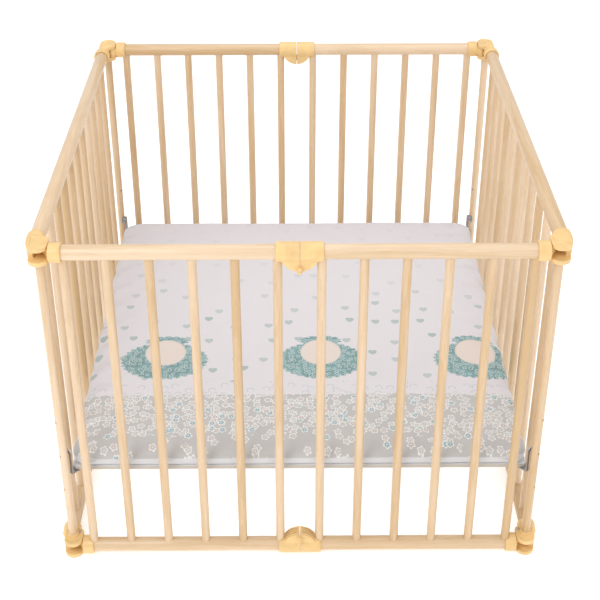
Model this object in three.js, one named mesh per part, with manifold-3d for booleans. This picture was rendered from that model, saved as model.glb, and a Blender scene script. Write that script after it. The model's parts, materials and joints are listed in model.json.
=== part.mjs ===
// A folding wooden playpen: four barred panels round a padded floor.
// Millimetres, +Z up. Origin on the ground, in the middle of the square.
// The left and right panels are stiff frames. The front and back panels are two halves each,
// hinged to the sides at the corners and to each other in the middle, so the pen folds flat.
import * as THREE from 'three';
import { mergeVertices } from 'three/addons/utils/BufferGeometryUtils.js';
import Module from 'manifold-3d';

const wasm = await Module();
wasm.setup();

// ---- driving dimensions -------------------------------------------------------------------
const SIDE_SPACING = 932; // left rail axis to right rail axis
const DEPTH_SPACING = 932; // front rail axis to back rail axis
const RAIL_SPACING = 692; // bottom rail axis to top rail axis

const RAIL_R = 14;
const BAR_R = 8.5;
const COLLAR_R = 18.6; // plastic sleeves on the rail ends
const FITTING_HALF = 19; // half height of a corner fitting, which stands on the ground
const BARS_PER_HALF = 6; // in each half of the front and back panels
const BARS_PER_SIDE = 11; // in each side panel, between its corner posts
const FIRST_BAR = 39; // innermost bar to the middle of its panel
const LAST_BAR = 52; // outermost bar to the side rail's axis
const BAR_DEPTH_IN_RAIL = 12; // how far a bar is glued into the top rail

// corner joint, measured inwards from the crossing of the rail axes
const POST_INSET = 9;
const PIN_INSET_X = 21;
const PIN_INSET_Y = 17;
const PIN_R = 3;
const PIN_FLOOR = 1; // plastic under the pin
const PIN_COVER = 3; // plastic left over the pin's upper end
const PLATE_GAP = 20; // height of the slot between the fitting's two plates
const PLATE_WIDTH = 37;
const PLATE_FRONT = 20; // how far the plates stand out past the front rail's axis
const WEB_EDGE = 2; // the plates are joined on the outer side of this line
const SOCKET_START = 25;
const SOCKET_END = 50; // where the side rail comes out of its socket
const SIDE_RAIL_DEPTH = 16; // how far the side rail reaches into its socket
const END_COLLAR_START = 29.3;
const END_COLLAR_LENGTH = 22.3;
const END_WALL = 4.2; // plastic behind the end of a rail
const EYE_R = 7.5;
const EYE_TAIL = 13; // how far the eye's web runs past the rail's axis
const POST_BOSS_R = 10.5;
const POST_BOSS_HEIGHT = 4;
const POST_DEPTH = 11.5; // how far a post reaches into its fitting

// middle hinge
const HINGE_COLLAR_LENGTH = 42.5;
const SEAM = 1.2; // gap between the two halves
const HINGE_DISC_R = 34;
const HINGE_DISC_THICKNESS = 26;
const HINGE_WALL = 5.4; // plastic between a rail's end and the seam
const HINGE_PIN_OUTSET = 19; // hinge axis outside the rail axis
const KNUCKLE_R = 4.5;
const KNUCKLE_TOP = 22.3; // nearer end of the knuckles, from the rail axis
const KNUCKLE_HEIGHT = 5.6;
const SPIGOT_R = 2;

// floor
const PEG_HEIGHTS = [162, 246, 330]; // the three heights the floor can hang at
const PEG_LEVEL = 1;
const PEG_HOLE_DEPTH = 12;
const PEG_R = 3;
const PEG_HEAD_R = 5.5;
const PEG_HEAD = 3;
const HOOK_THICKNESS = 2;
const HOOK_STEM = 6;
const HOOK_NOSE = 5;
const HOOK_SLACK = 0.5; // hook to the peg it hangs on
const HOOK_DROP = 9; // nose below the peg
const HOOK_SHOULDER = 5; // top of the stem above the peg
const HOOK_FOOT_WIDTH = 18;
const HOOK_FOOT_LENGTH = 26;
const BOARD_THICKNESS = 8;
const BOARD_BELOW_PEG = 40; // board's top face below the pegs
const MATTRESS_THICKNESS = 34;
const MATTRESS_CORNER_R = 38;
const MATTRESS_EDGE_R = 9;
const MATTRESS_GAP = 1.5; // mattress to the bars
const BOARD_GAP = 12; // board to the bars
const BOARD_CORNER = 4; // least cut across a corner
const HOOK_TO_BOARD = 0.8;

const GAP = 0.3; // between glued or resting pieces
const RUN = 0.1; // radial play of a turning joint
const PLAY = 0.4; // end play of a turning joint
const BAR_SIDES = 8;
const RAIL_SIDES = 12;
const COLLAR_SIDES = 16;
const PIN_SIDES = 20;

// ---- places worked out from them ----------------------------------------------------------
const halfX = SIDE_SPACING / 2;
const halfY = DEPTH_SPACING / 2;
const bottomZ = FITTING_HALF;
const topZ = bottomZ + RAIL_SPACING;
const endCollarEnd = END_COLLAR_START + END_COLLAR_LENGTH;
const railEndInset = END_COLLAR_START + END_WALL; // front and back rails, from the crossing
const sideRailInset = SOCKET_END - SIDE_RAIL_DEPTH; // side rails, from the crossing
const hingeRailStart = SEAM / 2 + HINGE_WALL;
const barPitch = (halfX - LAST_BAR - FIRST_BAR) / (BARS_PER_HALF - 1);
const sideBarPitch = (DEPTH_SPACING - 2 * POST_INSET) / (BARS_PER_SIDE + 1);
const frontBars = Array.from({ length: BARS_PER_HALF }, (_, i) => FIRST_BAR + i * barPitch);
const sideBars = Array.from({ length: BARS_PER_SIDE }, (_, i) => (
  (i - (BARS_PER_SIDE - 1) / 2) * sideBarPitch));
const pegZ = PEG_HEIGHTS[PEG_LEVEL];
const boardTop = pegZ - BOARD_BELOW_PEG;

// ---- materials ----------------------------------------------------------------------------
const material = (color, roughness, metalness = 0) => (
  new THREE.MeshStandardMaterial({ color, roughness, metalness }));
const wood = () => material(0xe8c594, 0.45);
const plastic = () => material(0xefc27c, 0.4);
const steel = () => material(0x8f9296, 0.35, 0.9);
const board = () => material(0xe9e9ea, 0.6);
const fabric = () => material(0xdcdde3, 0.8);

// ---- geometry helpers ---------------------------------------------------------------------
function solid(geometry) {
  const bare = geometry.index ? geometry.clone() : geometry;
  bare.deleteAttribute('normal');
  bare.deleteAttribute('uv');
  const merged = mergeVertices(bare, 1e-4);
  return new wasm.Manifold(new wasm.Mesh({
    numProp: 3,
    vertProperties: new Float32Array(merged.attributes.position.array),
    triVerts: new Uint32Array(merged.index.array),
  }));
}

function geometryOf(body) {
  const mesh = body.getMesh();
  const geometry = new THREE.BufferGeometry();
  const positions = new Float32Array(mesh.numVert * 3);
  for (let i = 0; i < mesh.numVert; i += 1) {
    for (let k = 0; k < 3; k += 1) positions[3 * i + k] = mesh.vertProperties[mesh.numProp * i + k];
  }
  geometry.setAttribute('position', new THREE.BufferAttribute(positions, 3));
  geometry.setIndex(new THREE.BufferAttribute(new Uint32Array(mesh.triVerts), 1));
  return geometry;
}

// A copy reflected in the planes whose sign is -1, with its faces still pointing out.
function mirrored(geometry, sx, sy, sz) {
  const copy = geometry.clone();
  copy.scale(sx, sy, sz);
  if (sx * sy * sz < 0) {
    const index = copy.index.array;
    for (let i = 0; i < index.length; i += 3) [index[i], index[i + 1]] = [index[i + 1], index[i]];
  }
  return copy;
}

const TURN = { x: new THREE.Matrix4().makeRotationZ(-Math.PI / 2),
  y: new THREE.Matrix4(),
  z: new THREE.Matrix4().makeRotationX(Math.PI / 2) };

// A rod from low to high along an axis, through the point (u, v) of the other two axes,
// given in x, y, z order.
function rod(axis, u, v, low, high, radius, sides) {
  const geometry = new THREE.CylinderGeometry(radius, radius, high - low, sides);
  geometry.rotateY(Math.PI / sides);
  geometry.applyMatrix4(TURN[axis]);
  const middle = (low + high) / 2;
  if (axis === 'x') geometry.translate(middle, u, v);
  if (axis === 'y') geometry.translate(u, middle, v);
  if (axis === 'z') geometry.translate(u, v, middle);
  return solid(geometry);
}

function block(x0, x1, y0, y1, z0, z1) {
  const geometry = new THREE.BoxGeometry(x1 - x0, y1 - y0, z1 - z0);
  geometry.translate((x0 + x1) / 2, (y0 + y1) / 2, (z0 + z1) / 2);
  return solid(geometry);
}

function slab(points, z0, z1) {
  const shape = new THREE.Shape(points.map(([x, y]) => new THREE.Vector2(x, y)));
  const geometry = new THREE.ExtrudeGeometry(shape, { depth: z1 - z0, bevelEnabled: false });
  geometry.translate(0, 0, z0);
  return solid(geometry);
}

// Points of an arc, in degrees.
function arc(cx, cy, rx, ry, from, to, steps) {
  return Array.from({ length: steps + 1 }, (_, i) => {
    const a = THREE.MathUtils.degToRad(from + ((to - from) * i) / steps);
    return [cx + rx * Math.cos(a), cy + ry * Math.sin(a)];
  });
}

const group = new THREE.Group();

function add(name, geometry, look, parent = group) {
  const mesh = new THREE.Mesh(geometry, look);
  mesh.name = name;
  parent.add(mesh);
  return mesh;
}

function placed(x, y, z) {
  const place = new THREE.Group();
  place.position.set(x, y, z);
  group.add(place);
  return place;
}

// ---- corner joint, drawn at the origin for the left front top corner ------------------------
// +X and +Y point into the pen and +Z up. The other corners are reflections of it.
// Its plates are round in front, and round behind about the pin, so that the rail swings past.
function plateOutline() {
  const edge = END_COLLAR_START - PLAY;
  const round = PLATE_WIDTH / 2;
  const behind = SOCKET_START + 2;
  return [
    ...arc(PIN_INSET_X, PIN_INSET_Y, edge - PIN_INSET_X, edge - PIN_INSET_X, 0, 90, 4),
    [PIN_INSET_X - 3, behind],
    [edge - PLATE_WIDTH, behind],
    ...arc(edge - round, round - PLATE_FRONT, round, round, 180, 360, 10),
  ];
}

function cornerFitting() {
  const half = FITTING_HALF;
  const slot = PLATE_GAP / 2;
  const outline = plateOutline();
  const bossEnd = -half - POST_BOSS_HEIGHT;
  const web = slab(outline, -half, half)
    .intersect(block(-PLATE_WIDTH, WEB_EDGE, -WEB_EDGE, SOCKET_START + 2, -half, half));
  const postBore = rod('z', POST_INSET, POST_INSET, bossEnd - 1, bossEnd + POST_DEPTH,
    BAR_R + GAP, BAR_SIDES);
  return geometryOf(slab(outline, slot, half)
    .add(slab(outline, -half, -slot))
    .add(web)
    .add(rod('y', 0, 0, SOCKET_START, SOCKET_END, COLLAR_R, COLLAR_SIDES))
    .add(rod('z', POST_INSET, POST_INSET, bossEnd, -slot - 1, POST_BOSS_R, COLLAR_SIDES))
    .subtract(rod('y', 0, 0, sideRailInset, SOCKET_END + 1, RAIL_R + GAP, RAIL_SIDES))
    .subtract(postBore)
    .subtract(rod('z', PIN_INSET_X, PIN_INSET_Y, -half - 1, half - PIN_COVER, PIN_R + RUN, PIN_SIDES)));
}

// The sleeve on the outer end of a front or back rail, with the eye that the pin goes through.
function endFitting() {
  const reach = PLATE_GAP / 2 - PLAY;
  const face = END_COLLAR_START + 1;
  const eye = slab([
    ...arc(PIN_INSET_X, PIN_INSET_Y, EYE_R, EYE_R, -10, 215, 10),
    [face, -EYE_TAIL],
    [face, EYE_TAIL],
  ], -reach, reach);
  return geometryOf(rod('x', 0, 0, END_COLLAR_START, endCollarEnd, COLLAR_R, COLLAR_SIDES)
    .add(eye)
    .subtract(rod('x', 0, 0, railEndInset, endCollarEnd + 1, RAIL_R + GAP, RAIL_SIDES))
    .subtract(rod('z', LAST_BAR, 0, -COLLAR_R - 1, 0, BAR_R + GAP, BAR_SIDES))
    .subtract(rod('z', PIN_INSET_X, PIN_INSET_Y, -reach - 1, reach + 1, PIN_R + RUN, PIN_SIDES)));
}

function cornerPin() {
  return geometryOf(rod('z', PIN_INSET_X, PIN_INSET_Y, -FITTING_HALF + PIN_FLOOR,
    FITTING_HALF - PIN_COVER - GAP, PIN_R, PIN_SIDES));
}

// ---- middle hinge, drawn at the origin for the right half of a front top rail ----------------
// +X runs out along the rail, -Y faces out of the pen, and the bars hang towards -Z. Each half
// has a knuckle on the outer face of its half disc. One knuckle carries the spigot that turns
// in the other.
function hingeHalf(hasSpigot) {
  const near = SEAM / 2;
  const discFace = -HINGE_DISC_THICKNESS / 2;
  const pinY = -HINGE_PIN_OUTSET;
  const high = -KNUCKLE_TOP - (hasSpigot ? 0 : KNUCKLE_HEIGHT + PLAY);
  const low = high - KNUCKLE_HEIGHT;
  const lowest = -Math.max(COLLAR_R, HINGE_DISC_R);
  const disc = rod('y', 0, 0, discFace, -discFace, HINGE_DISC_R, 2 * COLLAR_SIDES)
    .intersect(block(near, HINGE_DISC_R, discFace, -discFace, -HINGE_DISC_R, 0));
  const body = rod('x', 0, 0, near, HINGE_COLLAR_LENGTH, COLLAR_R, COLLAR_SIDES)
    .add(disc)
    .add(rod('z', 0, pinY, low, high, KNUCKLE_R, PIN_SIDES))
    .add(block(0, KNUCKLE_R, pinY, discFace, low, high))
    .add(block(near, KNUCKLE_R, discFace - 1, discFace + KNUCKLE_R, low, high))
    .subtract(rod('x', 0, 0, hingeRailStart, HINGE_COLLAR_LENGTH + 1, RAIL_R + GAP, RAIL_SIDES))
    .subtract(rod('z', FIRST_BAR, 0, lowest - 1, 0, BAR_R + GAP, BAR_SIDES));
  if (hasSpigot) {
    const end = low - KNUCKLE_HEIGHT - 2 * PLAY;
    return geometryOf(body.add(rod('z', 0, pinY, end, high, SPIGOT_R, PIN_SIDES)));
  }
  return geometryOf(body.subtract(rod('z', 0, pinY, low - 1, high + 1, SPIGOT_R + RUN, PIN_SIDES)));
}

// ---- rails and bars ---------------------------------------------------------------------------
// A half rail of the front or back panel, along +X from the middle.
const halfRailLow = hingeRailStart + GAP;
const halfRailHigh = halfX - railEndInset - GAP;
const sideRailHalf = halfY - sideRailInset - GAP;
const barTop = RAIL_SPACING - RAIL_R + BAR_DEPTH_IN_RAIL;

function halfTopRail() {
  const sockets = frontBars.map((x) => (
    rod('z', x, 0, -RAIL_R - 1, -RAIL_R + BAR_DEPTH_IN_RAIL + GAP, BAR_R + GAP, BAR_SIDES)));
  const rail = rod('x', 0, 0, halfRailLow, halfRailHigh, RAIL_R, RAIL_SIDES);
  return geometryOf(sockets.reduce((body, socket) => body.subtract(socket), rail));
}

function halfBottomRailAndBars() {
  const bars = frontBars.map((x) => rod('z', x, 0, 0, barTop, BAR_R, BAR_SIDES));
  const rail = rod('x', 0, 0, halfRailLow, halfRailHigh, RAIL_R, RAIL_SIDES);
  return geometryOf(bars.reduce((body, bar) => body.add(bar), rail));
}

function sideTopRail() {
  const sockets = sideBars.map((y) => (
    rod('z', 0, y, -RAIL_R - 1, -RAIL_R + BAR_DEPTH_IN_RAIL + GAP, BAR_R + GAP, BAR_SIDES)));
  const rail = rod('y', 0, 0, -sideRailHalf, sideRailHalf, RAIL_R, RAIL_SIDES);
  return geometryOf(sockets.reduce((body, socket) => body.subtract(socket), rail));
}

function sideBottomRailAndBars() {
  const bars = sideBars.map((y) => rod('z', 0, y, 0, barTop, BAR_R, BAR_SIDES));
  const rail = rod('y', 0, 0, -sideRailHalf, sideRailHalf, RAIL_R, RAIL_SIDES);
  return geometryOf(bars.reduce((body, bar) => body.add(bar), rail));
}

// ---- corner post, its peg and the floor's hook -------------------------------------------------
// Drawn with the post's axis at the origin and its inward diagonal along +X.
const postLow = bottomZ + FITTING_HALF + POST_BOSS_HEIGHT - POST_DEPTH + GAP;
const postHigh = topZ - FITTING_HALF - POST_BOSS_HEIGHT + POST_DEPTH - GAP;
const hookStart = BAR_R + 0.8;
const hookEnd = hookStart + HOOK_THICKNESS;

function cornerPost() {
  const post = rod('z', 0, 0, postLow, postHigh, BAR_R, BAR_SIDES);
  const holes = PEG_HEIGHTS.map((z) => (
    rod('x', 0, z, BAR_R - PEG_HOLE_DEPTH, BAR_R + 2, PEG_R + GAP, BAR_SIDES)));
  return holes.reduce((body, hole) => body.subtract(hole), post);
}

function floorPeg() {
  const shaft = rod('x', 0, pegZ, BAR_R - PEG_HOLE_DEPTH + GAP, hookEnd + 1, PEG_R, BAR_SIDES);
  const head = rod('x', 0, pegZ, hookEnd + 0.4, hookEnd + 0.4 + PEG_HEAD, PEG_HEAD_R, RAIL_SIDES);
  return shaft.add(head);
}

// A steel plate shaped like a walking stick: it rises from under the board and hooks the peg.
function floorHook() {
  const slot = PEG_R + HOOK_SLACK;
  const crown = slot + HOOK_NOSE;
  const lowZ = boardTop - BOARD_THICKNESS - GAP - HOOK_THICKNESS;
  const outline = [
    [-slot - HOOK_STEM, lowZ],
    [-slot, lowZ],
    [-slot, pegZ],
    ...arc(0, pegZ, slot, slot, 180, 0, 6).slice(1, -1),
    [slot, pegZ],
    [slot, pegZ - HOOK_DROP],
    [crown, pegZ - HOOK_DROP],
    ...arc(0, pegZ, crown, crown, 0, 120, 6),
    [-slot - HOOK_STEM, pegZ + HOOK_SHOULDER],
  ];
  const shape = new THREE.Shape(outline.map(([y, z]) => new THREE.Vector2(y, z)));
  const plate = new THREE.ExtrudeGeometry(shape, { depth: HOOK_THICKNESS, bevelEnabled: false });
  plate.applyMatrix4(new THREE.Matrix4().makeBasis(
    new THREE.Vector3(0, 1, 0), new THREE.Vector3(0, 0, 1), new THREE.Vector3(1, 0, 0)));
  plate.translate(hookStart, 0, 0);
  const foot = block(hookStart, hookEnd + HOOK_FOOT_LENGTH, -slot - HOOK_STEM,
    -slot - HOOK_STEM + HOOK_FOOT_WIDTH, lowZ, lowZ + HOOK_THICKNESS);
  return solid(plate).add(foot);
}

// Turns a piece drawn along the diagonal of the left front corner into the corner's own axes.
function fromDiagonal(body) {
  const geometry = geometryOf(body);
  geometry.rotateZ(Math.PI / 4);
  return geometry;
}

// ---- floor ------------------------------------------------------------------------------------
function floorBoard() {
  const x = halfX - BAR_R - BOARD_GAP;
  const y = halfY - BAR_R - BOARD_GAP;
  // each corner is cut off square to the diagonal, clear of the hook's plate
  const reach = halfX + halfY - 2 * POST_INSET - Math.SQRT2 * (hookEnd + HOOK_TO_BOARD);
  const cut = Math.max(x + y - reach, BOARD_CORNER);
  const points = [
    [x, y - cut], [x - cut, y], [cut - x, y], [-x, y - cut],
    [-x, cut - y], [cut - x, -y], [x - cut, -y], [x, cut - y],
  ];
  return geometryOf(slab(points, boardTop - BOARD_THICKNESS, boardTop));
}

function roundedSquare(x, y, radius, steps) {
  const u = x - radius;
  const v = y - radius;
  return [
    ...arc(u, v, radius, radius, 0, 90, steps),
    ...arc(-u, v, radius, radius, 90, 180, steps),
    ...arc(-u, -v, radius, radius, 180, 270, steps),
    ...arc(u, -v, radius, radius, 270, 360, steps),
  ];
}

function mattress() {
  const x = halfX - BAR_R - MATTRESS_GAP - MATTRESS_EDGE_R;
  const y = halfY - BAR_R - MATTRESS_GAP - MATTRESS_EDGE_R;
  const points = roundedSquare(x, y, MATTRESS_CORNER_R - MATTRESS_EDGE_R, 5);
  const shape = new THREE.Shape(points.map(([px, py]) => new THREE.Vector2(px, py)));
  const geometry = new THREE.ExtrudeGeometry(shape, {
    depth: MATTRESS_THICKNESS - 2 * MATTRESS_EDGE_R,
    bevelEnabled: true,
    bevelSize: MATTRESS_EDGE_R,
    bevelThickness: MATTRESS_EDGE_R,
    bevelSegments: 3,
  });
  geometry.translate(0, 0, boardTop + GAP + MATTRESS_EDGE_R);
  return geometryOf(solid(geometry));
}

// ---- assembly -----------------------------------------------------------------------------------
const fitting = cornerFitting();
const sleeve = endFitting();
const pin = cornerPin();
const spigotHalf = hingeHalf(true);
const eyeHalf = hingeHalf(false);
const halfTop = halfTopRail();
const halfBottom = halfBottomRailAndBars();
const sideTop = sideTopRail();
const sideBottom = sideBottomRailAndBars();
const post = fromDiagonal(cornerPost());
const peg = fromDiagonal(floorPeg());
const hook = fromDiagonal(floorHook());

for (const [side, sx] of [['left', 1], ['right', -1]]) {
  const bottom = placed(-sx * halfX, 0, bottomZ);
  const top = placed(-sx * halfX, 0, topZ);
  add(`${side}_side_bottom_rail_and_bars`, mirrored(sideBottom, sx, 1, 1), wood(), bottom);
  add(`${side}_side_top_rail`, mirrored(sideTop, sx, 1, 1), wood(), top);

  for (const [end, sy] of [['front', 1], ['back', -1]]) {
    const corner = `${side}_${end}`;
    const centreX = -sx * halfX;
    const centreY = -sy * halfY;
    const postPlace = placed(centreX + sx * POST_INSET, centreY + sy * POST_INSET, 0);
    add(`${corner}_post`, mirrored(post, sx, sy, 1), wood(), postPlace);
    add(`${corner}_floor_peg`, mirrored(peg, sx, sy, 1), steel(), postPlace);
    add(`${corner}_floor_hook`, mirrored(hook, sx, sy, 1), steel(), postPlace);

    const panel = `${end}_${side}`;
    const middle = placed(0, centreY, 0);
    const hinge = side === 'left' ? spigotHalf : eyeHalf;
    for (const [level, z, sz] of [['top', topZ, 1], ['bottom', bottomZ, -1]]) {
      const crossing = placed(centreX, centreY, z);
      add(`${corner}_${level}_corner_fitting`, mirrored(fitting, sx, sy, sz), plastic(), crossing);
      add(`${corner}_${level}_corner_pin`, mirrored(pin, sx, sy, sz), steel(), crossing);
      add(`${panel}_${level}_end_fitting`, mirrored(sleeve, sx, sy, sz), plastic(), crossing);
      const hingePlace = placed(0, centreY, z);
      add(`${panel}_${level}_hinge_half`, mirrored(hinge, -sx, sy, sz), plastic(), hingePlace);
    }
    const topRail = add(`${panel}_top_rail`, mirrored(halfTop, -sx, 1, 1), wood(), middle);
    topRail.position.z = topZ;
    const bottomRail = add(`${panel}_bottom_rail_and_bars`, mirrored(halfBottom, -sx, 1, 1),
      wood(), middle);
    bottomRail.position.z = bottomZ;
  }
}

add('floor_board', floorBoard(), board());
add('mattress', mattress(), fabric());

export default group;
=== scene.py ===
"""A folding wooden playpen with a printed padded floor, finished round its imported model."""

import json
import math

import bmesh
import bpy
from bpy.props import FloatProperty, FloatVectorProperty, IntProperty, PointerProperty
from mathutils import Matrix, Vector, noise


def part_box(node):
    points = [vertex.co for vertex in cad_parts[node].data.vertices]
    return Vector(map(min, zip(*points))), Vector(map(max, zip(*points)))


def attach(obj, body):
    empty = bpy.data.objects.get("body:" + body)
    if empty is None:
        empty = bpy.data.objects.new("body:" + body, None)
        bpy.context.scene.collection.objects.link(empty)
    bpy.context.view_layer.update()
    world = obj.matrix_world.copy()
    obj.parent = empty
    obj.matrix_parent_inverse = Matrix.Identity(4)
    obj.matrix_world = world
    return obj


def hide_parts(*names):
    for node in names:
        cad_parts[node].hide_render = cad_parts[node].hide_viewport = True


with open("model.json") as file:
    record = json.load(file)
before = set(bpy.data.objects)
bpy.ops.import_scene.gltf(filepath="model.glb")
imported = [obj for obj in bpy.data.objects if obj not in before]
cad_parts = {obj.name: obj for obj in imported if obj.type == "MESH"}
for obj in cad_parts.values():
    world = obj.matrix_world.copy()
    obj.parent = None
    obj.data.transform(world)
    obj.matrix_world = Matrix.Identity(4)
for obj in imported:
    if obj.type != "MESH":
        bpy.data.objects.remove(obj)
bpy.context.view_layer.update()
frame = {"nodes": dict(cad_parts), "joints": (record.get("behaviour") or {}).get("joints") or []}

bl_info = {
    "name": "Folding Playpen",
    "version": (1, 0, 0),
    "blender": (4, 5, 0),
    "location": "3D View > Sidebar > Playpen",
    "description": "Makes the bars, rails, moulded hinges and padded floor of a folding playpen",
    "category": "Object",
}

MM = 0.001


# ---- places read from the frame --------------------------------------------------------------
def centre_of(node):
    low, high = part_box(node)
    return (low + high) / 2


HALF_X = -centre_of("left_side_top_rail").x
HALF_Y = -centre_of("front_left_top_rail").y
TOP_Z = centre_of("left_side_top_rail").z
BOTTOM_Z = centre_of("front_left_bottom_end_fitting").z
CORNER = Vector((-HALF_X, -HALF_Y, 0))
PIN_INSET = centre_of("left_front_top_corner_pin") - CORNER
POST_INSET = centre_of("left_front_post") - CORNER
FITTING_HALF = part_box("left_front_top_corner_fitting")[1].z - TOP_Z
FITTING_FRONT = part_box("left_front_top_corner_fitting")[0].y + HALF_Y
SOCKET_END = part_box("left_front_top_corner_fitting")[1].y + HALF_Y
END_WALL = 4.2 * MM
HINGE_WALL = 5.4 * MM
SLEEVE_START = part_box("front_left_top_rail")[0].x + HALF_X - END_WALL - 0.3 * MM
SLEEVE_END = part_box("front_left_top_end_fitting")[1].x + HALF_X
HINGE_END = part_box("front_right_top_hinge_half")[1].x
BORE_RADIUS = 3.6 * MM
PEG_Z = centre_of("left_front_floor_peg").z
MATTRESS_LOW, MATTRESS_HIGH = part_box("mattress")
BOARD_LOW, BOARD_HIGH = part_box("floor_board")

# sizes that are not read from the frame
RAIL_GAP = 0.1 * MM
NOTCH_GAP = 0.2 * MM
PLATE_WIDTH = 37 * MM
PLATE_DEPTH = 28 * MM
SEAM_HALF = 0.6 * MM
SPIGOT_TOP = -22.3 * MM
EYE_TOP = -28.3 * MM
BARREL_HEIGHT = 5.6 * MM
PIN_RADIUS = 3 * MM
PIN_SIDES = 32
MOULDING_ANGLE = 60
MATTRESS_GRID = 9 * MM
MATTRESS_CORNER = 34 * MM
SWELL_FRAMES = 14

SIDES = (("left", 1), ("right", -1))
ENDS = (("front", 1), ("back", -1))
LEVELS = (("top", TOP_Z, 1), ("bottom", BOTTOM_Z, -1))


# ---- settings --------------------------------------------------------------------------------
class PlaypenWood(bpy.types.PropertyGroup):
    """Rails, bars and posts"""

    rail_radius: FloatProperty(
        name="Rail radius", description="Half the thickness of a rail",
        default=14 * MM, min=8 * MM, unit="LENGTH")
    bar_radius: FloatProperty(
        name="Bar radius", description="Half the thickness of a bar or post",
        default=8.5 * MM, min=4 * MM, unit="LENGTH")
    first_bar: FloatProperty(
        name="First bar", description="Innermost bar to the middle of its panel",
        default=39 * MM, unit="LENGTH")
    last_bar: FloatProperty(
        name="Last bar", description="Outermost bar to the side rail's axis",
        default=52 * MM, unit="LENGTH")
    bars_per_half: IntProperty(
        name="Bars in a half panel", description="Bars in each half of a folding panel",
        default=6, min=2)
    bars_per_side: IntProperty(
        name="Bars in a side", description="Bars between a side panel's posts",
        default=11, min=2)
    hole_radius: FloatProperty(
        name="Peg hole radius", description="Half the width of a peg hole",
        default=2.6 * MM, unit="LENGTH")
    hole_pitch: FloatProperty(
        name="Peg hole pitch", description="Height between two peg holes",
        default=84 * MM, unit="LENGTH")
    light: FloatVectorProperty(
        name="Light grain", description="Colour of the pale growth",
        default=(0.80, 0.615, 0.43), subtype="COLOR", min=0, max=1)
    dark: FloatVectorProperty(
        name="Dark grain", description="Colour of the dark growth",
        default=(0.60, 0.40, 0.20), subtype="COLOR", min=0, max=1)


class PlaypenPlastic(bpy.types.PropertyGroup):
    """Moulded corner and middle hinges"""

    collar_radius: FloatProperty(
        name="Collar radius", description="Outside of the sleeves on the rails",
        default=18.2 * MM, unit="LENGTH")
    slot_half: FloatProperty(
        name="Half slot", description="Half the height of the slot in a corner fitting",
        default=10 * MM, unit="LENGTH")
    disc_radius: FloatProperty(
        name="Half disc radius", description="Radius of a middle hinge's half disc",
        default=34 * MM, unit="LENGTH")
    disc_half: FloatProperty(
        name="Half disc thickness", description="Half the thickness of the half disc",
        default=13 * MM, unit="LENGTH")
    skin: FloatProperty(
        name="Surface step", description="Grid that the moulded surface is made on",
        default=0.8 * MM, unit="LENGTH")
    colour: FloatVectorProperty(
        name="Plastic", description="Colour of the moulded pieces",
        default=(0.83, 0.565, 0.25), subtype="COLOR", min=0, max=1)


class PlaypenFloor(bpy.types.PropertyGroup):
    """Board, hooks and padded mattress"""

    swell: FloatProperty(
        name="Swell", description="How far the padding may swell",
        default=7 * MM, unit="LENGTH")
    dent: FloatProperty(
        name="Dent", description="How deep the cover dips at each bar",
        default=9 * MM, unit="LENGTH")
    dent_reach: FloatProperty(
        name="Dent reach", description="How far a dip runs in from the edge",
        default=55 * MM, unit="LENGTH")
    roll: FloatProperty(
        name="Roll", description="How far the upper edge falls towards the seam",
        default=4 * MM, unit="LENGTH")
    cloth: FloatVectorProperty(
        name="Cloth", description="Ground colour of the printed cloth",
        default=(0.74, 0.71, 0.74), subtype="COLOR", min=0, max=1)
    wool: FloatVectorProperty(
        name="Print, teal", description="Teal of the woolly shapes",
        default=(0.21, 0.39, 0.40), subtype="COLOR", min=0, max=1)
    meadow: FloatVectorProperty(
        name="Print, grey", description="Grey ground of the flower band",
        default=(0.56, 0.55, 0.545), subtype="COLOR", min=0, max=1)


class PlaypenStage(bpy.types.PropertyGroup):
    """Camera and studio"""

    eye: FloatVectorProperty(
        name="Camera", description="Where the camera stands",
        default=(-0.0138, -2.230, 1.800), subtype="TRANSLATION", unit="LENGTH")
    tilt: FloatProperty(
        name="Tilt", description="How far the camera looks down",
        default=math.radians(29.2), subtype="ANGLE")
    lens: FloatProperty(name="Lens", description="Focal length", default=71.4)
    shift: FloatProperty(name="Shift", description="Upright shift of the lens", default=-0.167)


# ---- node building ---------------------------------------------------------------------------
class Value:
    """A number socket that can be used in Python expressions."""

    def __init__(self, work, socket):
        self.work = work
        self.socket = socket

    def _math(self, operation, *values):
        made = self.work.node("ShaderNodeMath", {"operation": operation}, dict(enumerate(values)))
        return Value(self.work, made.outputs[0])

    def __add__(self, other):
        return self._math("ADD", self, other)

    __radd__ = __add__

    def __sub__(self, other):
        return self._math("SUBTRACT", self, other)

    def __rsub__(self, other):
        return self._math("SUBTRACT", other, self)

    def __mul__(self, other):
        return self._math("MULTIPLY", self, other)

    __rmul__ = __mul__

    def __truediv__(self, other):
        return self._math("DIVIDE", self, other)

    def __rtruediv__(self, other):
        return self._math("DIVIDE", other, self)

    def __abs__(self):
        return self._math("ABSOLUTE", self)

    def __lt__(self, other):
        return self._math("LESS_THAN", self, other)

    def __gt__(self, other):
        return self._math("GREATER_THAN", self, other)

    def sine(self):
        return self._math("SINE", self)

    def root(self):
        return self._math("SQRT", self)

    def angle_from(self, x):
        return self._math("ARCTAN2", self, x)

    def wrapped(self, low, high):
        return self._math("WRAP", self, high, low)

    def at_most(self, other):
        return self._math("MINIMUM", self, other)

    def at_least(self, other):
        return self._math("MAXIMUM", self, other)


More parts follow.
